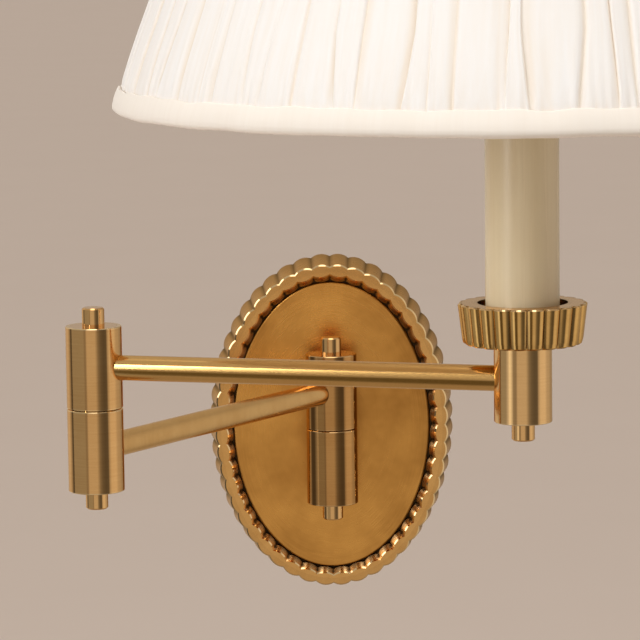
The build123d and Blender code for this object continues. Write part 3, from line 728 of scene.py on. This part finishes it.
def lap_angle(folds, lap, rise):
    """Angle of a lap, which drifts to and fro on its way up."""
    drift = folds.drift_size[lap] * np.sin(folds.drift_rate[lap] * rise + folds.drift_phase[lap])
    step = math.tau / fold_count
    return folds.start[lap] + step * drift * np.minimum(1, drift_onset * rise)


def lap_depth(folds, lap, rise):
    """Depth of a lap; about half of the laps fade for a stretch."""
    fade_reach = 0.25
    depth = folds.depth_low[lap] + (folds.depth_high[lap] - folds.depth_low[lap]) * rise
    near = np.exp(-(((rise - folds.fade_place[lap]) / fade_reach) ** 2))
    return depth * (1 - folds.fade[lap] * near)


def turned_side(away):
    """The edge of a fold that turns under at once."""
    turned = np.clip(1 - away / turn_share, 0, 1)
    return turned * turned * (3 - 2 * turned)


def lip_rise(away):
    """The slight lip along a turned edge."""
    lip_place = 0.09
    lip_reach = 0.06
    return lip_height * np.exp(-(((away - lip_place) / lip_reach) ** 2)) * (1 - turned_side(away))


def fold_relief(folds, fold, inside, rise):
    """How far the folds rise and dip: at each lap one fold turns under and the other comes up softly."""
    start_turned = folds.laps_back[fold]
    end_turned = ~folds.laps_back[fold + 1]
    reach = np.where(start_turned | end_turned, 1.0, shared_reach)

    def soft_side(away):
        return np.clip(1 - away / (folds.dip_share[fold] * reach), 0, 1) ** soft_power

    start_dip = np.where(start_turned, turned_side(inside), soft_side(inside))
    end_dip = np.where(end_turned, turned_side(1 - inside), soft_side(1 - inside))
    dip = lap_depth(folds, fold, rise) * start_dip + lap_depth(folds, fold + 1, rise) * end_dip
    lip = lip_rise(inside) * start_turned + lip_rise(1 - inside) * end_turned
    belly = belly_height * folds.swell[fold] * np.sin(math.pi * inside) ** 2 * np.sin(math.pi * rise)
    return lip + belly, dip


def puckers(clockwise, rise, above_bottom, below_top):
    """Small puckers beside the stitching of each trim, and faint creases that run on from it."""
    pucker_reach = 9 * MM
    crease_reach = 40 * MM
    short = np.exp(-above_bottom / pucker_reach) + np.exp(-below_top / pucker_reach)
    long = 0.45 + np.exp(-above_bottom / crease_reach) + np.exp(-below_top / crease_reach)
    fine = np.sin(clockwise * 190 + 3 * np.sin(clockwise * 23)) + 0.7 * np.sin(clockwise * 311 + 1.3)
    crease = np.sin(clockwise * 141 + 4 * np.sin(clockwise * 17) + 2.0 * rise)
    crease = crease * np.sin(clockwise * 31 + 3 * rise)
    return pucker_height * fine * np.clip(short, 0, 1) + crease_height * crease * np.clip(long, 0, 1)


def make_gathered_cover():
    """Cotton strip gathered onto the frame in broad folds that lap over one another either way."""
    columns = fold_count * columns_per_fold
    strip = cut_cloth("gathered_cover", columns, cover_rows, *cover_flat)
    across, up = grid_shares(strip)
    column = np.rint(across * columns)
    fold = np.minimum(column // columns_per_fold, fold_count - 1).astype(int)
    even = (column - fold * columns_per_fold) / columns_per_fold

    # Columns stand closer together near the laps, and rows near the two trims
    inside = 0.5 - 0.5 * np.cos(math.pi * even)
    rise = up - row_crowding * np.sin(math.tau * up)
    height = cover_low.z + rise * (cover_high.z - cover_low.z)
    above_bottom = np.maximum(height - bottom_trim_high.z, 0)
    below_top = np.maximum(top_trim_low.z - height, 0)

    folds = draw_folds()
    first = lap_angle(folds, fold, rise)
    last = lap_angle(folds, fold + 1, rise)
    clockwise = first + (last - first) * inside
    stand, dip = fold_relief(folds, fold, inside, rise)
    stand = stand + puckers(clockwise, rise, above_bottom, below_top)

    # The trims press the folds flatter, and nothing stands out under the lower trim's lip
    press_reach = 3 * MM
    press_share = 0.4
    release_rise = 1.5 * MM
    near_trims = np.exp(-above_bottom / press_reach) + np.exp(-below_top / press_reach)
    offset = stand - dip * (1 - press_share * near_trims)
    released = np.clip(above_bottom / release_rise, 0, 1)
    offset = np.where(offset > 0, offset * released, offset)
    radius = cover_profile(height) + offset

    # The folds are counted clockwise from the shade's rear, as the front arm's heading has turned it
    rear = math.radians(front_arm_heading - 270)
    wrap(strip, rear - clockwise, radius, height)
    return strip


def paint_fold_shade(strip):
    """Paints shade into the hollows between folds, by how far each point lies behind the folds' outer
    surface.
    """
    points = np.zeros(len(strip.data.vertices) * 3)
    strip.data.vertices.foreach_get("co", points)
    points = points.reshape(-1, 3)
    radius = np.hypot(points[:, 0] - lamp_x, points[:, 1] - lamp_y)
    hollow = (cover_profile(points[:, 2]) - radius - fold_shade_start) / fold_shade_depth
    kept = strip.data.attributes.new("fold", "FLOAT", "POINT")
    kept.data.foreach_set("value", np.clip(hollow, 0, 1).astype(np.float32))


def make_lining():
    """Smooth cotton stretched inside the cover, slightly scalloped between its pulls."""
    columns = 240
    rows = 24
    pulls = 24
    slack = 0.15 * MM
    strip = cut_cloth("smooth_lining", columns, rows, *lining_flat)
    across, up = grid_shares(strip)
    angle = math.tau * across
    height = lining_low.z + up * (lining_high.z - lining_low.z)
    layers = gather_depth + cover_thickness + cloth_gap
    bottom = hold_radius - layers
    top = cone_top_radius - layers
    share = (height - shade_low) / (shade_high - shade_low)
    scallops = slack * np.sin(pulls * angle) * np.sin(math.pi * up)
    radius = bottom + share * (top - bottom) - slack + scallops
    wrap(strip, angle, radius, height)
    return strip


def make_trim(name, outer_radius, inner_radius, edge_height, lip_radius, lip_middle):
    """A folded strip: its section is a roll at the shade's edge that thins to a lip lying on the cloth."""
    columns = 420
    rows = 30
    roundness = 2.4
    strip = cut_cloth(name, columns, rows, math.tau * outer_radius, trim_flat_width)
    across, up = grid_shares(strip)
    angle = math.tau * across
    turn = math.tau * up
    roll = outer_radius - inner_radius
    upward = math.copysign(1, lip_middle - edge_height)
    roll_radius = outer_radius - roll / 2
    roll_height = edge_height + upward * roll / 2

    # The section follows the two round edges of the fold and the straight cloth between them
    fall = math.atan2(lip_middle - roll_height, lip_radius - roll_radius)
    share = 0.5 + 0.5 * np.clip(np.cos(turn) * roundness, -1, 1)
    size = roll / 2 + share * (trim_lip / 2 - roll / 2)
    middle_radius = roll_radius + share * (lip_radius - roll_radius)
    middle_height = roll_height + share * (lip_middle - roll_height)

    # The roll is a little lumpy and wrinkled, and the stitched lip wanders along the cloth
    lumps = 1 + 0.04 * np.sin(17 * angle + 2 * np.sin(5 * angle)) + 0.02 * np.sin(41 * angle + 1.7)
    wrinkled = np.clip(np.sin(7 * angle + 1.1) + np.sin(12.0 * angle), 0, 1)
    wrinkles = 0.018 * wrinkled * np.sin(133 * angle + 2.5 * turn)
    size = size * np.where(share < 0.5, lumps + wrinkles, 1.0)
    wander = 0.22 * MM * (2 + np.sin(19 * angle + 1.5 * np.sin(8 * angle)) + np.sin(47 * angle))
    middle_height = middle_height - upward * wander * share
    radius = middle_radius + size * np.cos(turn + fall)
    height = middle_height + size * np.sin(turn + fall)
    wrap(strip, angle, radius, height)
    return strip


def make_bottom_trim():
    """The lower trim, whose lip points up."""
    inner_radius = hold_radius - gather_depth - cover_thickness
    lip_radius = hold_radius + cloth_gap + trim_lip / 2
    lip_middle = bottom_trim_high.z - trim_lip / 2
    return make_trim("bottom_trim_roll", bottom_trim_radius, inner_radius, shade_low, lip_radius, lip_middle)


def make_top_trim():
    """The upper trim, whose lip points down."""
    inner_radius = cone_top_radius - gather_depth - cover_thickness
    lip_radius = cone_radius(top_trim_low.z) + cloth_gap + trim_lip / 2
    lip_middle = top_trim_low.z + trim_lip / 2
    return make_trim("top_trim_roll", top_trim_radius, inner_radius, shade_high, lip_radius, lip_middle)


def dress_shade():
    """The four cloth pieces of the shade stand for their solids."""
    cover = make_gathered_cover()
    paint_fold_shade(cover)
    lining = make_lining()
    bottom = make_bottom_trim()
    top = make_top_trim()
    for piece, node, slot in (
        (cover, "shade_cover", "shade_cloth"),
        (lining, "shade_lining", "lining_cloth"),
        (bottom, "shade_bottom_trim", "trim_cloth"),
        (top, "shade_top_trim", "trim_cloth"),
    ):
        piece.data.materials.append(finishes[slot])
        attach(piece, "front_arm")
        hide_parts(node)


# Studio
daylight = (0.95, 0.98, 1.0)
warm = (1.0, 0.92, 0.83)
white = (1.0, 1.0, 1.0)
backdrop = (0.58, 0.485, 0.415)


def add_plane(name):
    """A plane of unit size for the studio."""
    bpy.ops.object.select_all(action="DESELECT")
    bpy.ops.mesh.primitive_plane_add(size=1.0)
    plane = bpy.context.object
    plane.name = name
    return plane


def add_floor():
    """Plain pale floor far below the light, darker towards the front as painted shade; clear from underneath
    and not mirrored in the metal.
    """
    width = 10.0
    depth = 46.0
    middle = (0, 18.0, -1.0)
    floor = add_plane("studio_floor")
    floor.data.transform(Matrix.Translation(middle) @ Matrix.Diagonal((width, depth, 1, 1)))
    material, made, links = new_material("studio_floor_pale")
    tree = material.node_tree
    shader = made["Principled BSDF"]
    set_inputs(shader, {"Roughness": 0.9, "Specular IOR Level": 0.1})
    place = object_place(tree)
    grain = add_noise(tree, place, 3.0, roughness=0.5)
    pale = add_mix(tree, grain, (0.81, 0.685, 0.605), (0.79, 0.665, 0.585))
    # Painted shade: the floor darkens towards the front, as light falling off
    front = add_range(tree, add_parts(tree, place)[1], -0.3, -1.3)
    links.new(add_mix(tree, front, pale, (0.42, 0.38, 0.34)), shader.inputs["Base Color"])
    clear = made.new("ShaderNodeBsdfTransparent")
    side = made.new("ShaderNodeNewGeometry")
    either = made.new("ShaderNodeMixShader")
    links.new(side.outputs["Backfacing"], either.inputs[0])
    links.new(shader.outputs[0], either.inputs[1])
    links.new(clear.outputs[0], either.inputs[2])
    links.new(either.outputs[0], made["Material Output"].inputs["Surface"])
    floor.data.materials.append(material)
    floor.visible_glossy = False


def add_grey_card():
    """Upright grey card beside the elbow, only for the dark band that it leaves on the barrels near it."""
    near_end = Vector((-0.160, -0.265, 0.02))
    far_end = Vector((-0.235, -0.150, 0.02))
    card_height = 0.30
    along = far_end - near_end
    card = add_plane("grey_card")
    stand = Matrix.Rotation(math.radians(90), 4, "X") @ Matrix.Diagonal((along.length, card_height, 1, 1))
    turn = Matrix.Rotation(math.atan2(along.y, along.x), 4, "Z")
    card.data.transform(Matrix.Translation((near_end + far_end) / 2) @ turn @ stand)
    material, made, links = new_material("studio_card_grey")
    glow = made.new("ShaderNodeEmission")
    set_inputs(glow, {"Color": (1.0, 0.98, 0.92, 1), "Strength": 0.34})
    links.new(glow.outputs[0], made["Material Output"].inputs["Surface"])
    card.data.materials.append(material)
    card.visible_camera = False
    card.visible_diffuse = False
    card.visible_shadow = False


def add_horizon(tree, heading):
    """Light and dark stretches round the horizon, which band the barrels."""
    rear_tone = 0.45
    # Bearing in degrees from the front, brightness and tint
    rear_left = ((-128, 0.64, warm), (-115, 0.42, warm))
    left_dark = ((-104, 0.10, warm), (-86, 0.10, warm))
    left_light = ((-75, 0.34, white), (-65, 0.62, white), (-57, 1.02, white), (-49, 0.70, white))
    left_dusk = ((-42, 0.30, warm), (-31, 0.28, warm))
    front = ((-25, 0.58, warm), (8, 0.58, warm), (14, 0.42, warm), (20, 0.26, warm))
    right_dark = ((30, 0.16, warm), (43, 0.12, warm), (55, 0.13, warm))
    right_light = ((61, 0.48, warm), (70, 0.70, warm), (92, 0.72, warm), (106, 0.52, warm))
    rear_right = ((120, 0.48, warm), (138, 0.34, warm))
    horizon = rear_left + left_dark + left_light + left_dusk + front + right_dark + right_light + rear_right

    def tinted(tone, tint):
        return (*(tone * part for part in tint), 1)

    ramp = tree.nodes.new("ShaderNodeValToRGB")
    stops = ramp.color_ramp.elements
    for end in (stops[0], stops[1]):
        end.color = tinted(rear_tone, warm)
    for degrees, tone, tint in horizon:
        stop = stops.new((degrees + 180) / 360)
        stop.color = tinted(tone, tint)
    tree.links.new(add_range(tree, heading, -math.pi, math.pi), ramp.inputs["Fac"])
    return ramp.outputs["Color"]


def add_surroundings():
    """Studio surroundings: the horizon, a skylight, a dim ground, a dark low front and a backdrop."""
    dark_front_bearing = math.radians(-31)
    world = bpy.data.worlds.new("studio")
    bpy.context.scene.world = world
    world.use_nodes = True
    tree = world.node_tree
    coordinates = tree.nodes.new("ShaderNodeTexCoord")
    right, rearward, upward = add_parts(tree, coordinates.outputs["Generated"])
    heading = add_math(tree, "ARCTAN2", right, add_product(tree, rearward, -1.0))
    room = add_horizon(tree, heading)

    overhead = add_range(tree, upward, 0.50, 0.80)
    skylight = add_range(tree, upward, 0.95, 0.985)
    ground = add_range(tree, upward, -0.50, -0.90)
    room = add_mix(tree, overhead, room, (0.50, 0.47, 0.43))
    room = add_mix(tree, skylight, room, (2.4, 2.3, 2.15))
    room = add_mix(tree, ground, room, (0.34, 0.28, 0.22))

    aside = add_math(tree, "ABSOLUTE", add_sum(tree, heading, -dark_front_bearing))
    low = add_range(tree, upward, -0.20, -0.34)
    not_straight_down = add_range(tree, upward, -0.92, -0.985, 1.0, 0.0)
    near_bearing = add_range(tree, aside, 0.15, 0.32, 1.0, 0.0)
    low_front = add_product(tree, add_product(tree, low, not_straight_down), near_bearing)
    room = add_mix(tree, low_front, room, (0.11, 0.085, 0.045))

    rays = tree.nodes.new("ShaderNodeLightPath")
    seen = add_mix(tree, rays.outputs["Is Camera Ray"], room, backdrop)
    background = tree.nodes["Background"]
    tree.links.new(seen, background.inputs["Color"])
    background.inputs["Strength"].default_value = 1.0


def add_softbox(name, place, target, size, power, mirrored=True, lights_cloth=True):
    """A soft lamp that faces a point. It can be kept out of the metal's mirroring, or off matt surfaces."""
    lamp = bpy.data.lights.new(name, "AREA")
    lamp.shape = "RECTANGLE"
    lamp.size, lamp.size_y = size
    lamp.energy = power
    lamp.color = daylight
    softbox = bpy.data.objects.new(name, lamp)
    bpy.context.collection.objects.link(softbox)
    softbox.location = place
    way = Vector(target) - Vector(place)
    softbox.rotation_euler = way.to_track_quat("-Z", "Y").to_euler()
    softbox.visible_glossy = mirrored
    softbox.visible_diffuse = lights_cloth


def add_lamps():
    """Two softboxes that the metal mirrors, and two fills for the candle and the cloth."""
    add_softbox("key_softbox", (-1.81, -1.86, 0.81), (0.0, -0.15, 0.05), (0.95, 1.6), 32, lights_cloth=False)
    add_softbox("left_card", (-1.89, -0.24, 0.97), (0.0, -0.10, 0.05), (1.1, 1.4), 11, lights_cloth=False)
    add_softbox("candle_fill", (-1.9, -1.6, 0.78), (0.06, -0.2, 0.1), (1.2, 1.2), 33, mirrored=False)
    add_softbox("shade_fill", (1.4, -1.55, 2.2), (0.06, -0.2, 0.2), (1.6, 1.6), 40, mirrored=False)


def add_camera():
    """Long lens a little above the arms, with the photograph's slight lean."""
    look_down = 7.53
    lean = -0.748
    lens = bpy.data.cameras.new("camera")
    lens.lens = 200.0
    lens.sensor_width = 36.0
    camera = bpy.data.objects.new("camera", lens)
    bpy.context.collection.objects.link(camera)
    place = Matrix.Translation((-0.0041, -1.4064, 0.2260))
    pitch = Matrix.Rotation(math.radians(90 - look_down), 4, "X")
    roll = Matrix.Rotation(math.radians(lean), 4, "Z")
    camera.matrix_world = place @ pitch @ roll
    bpy.context.scene.camera = camera


bpy.context.scene.view_settings.view_transform = "Standard"
add_camera()
add_surroundings()
add_lamps()
add_floor()
add_grey_card()
finish_solids()
dress_shade()
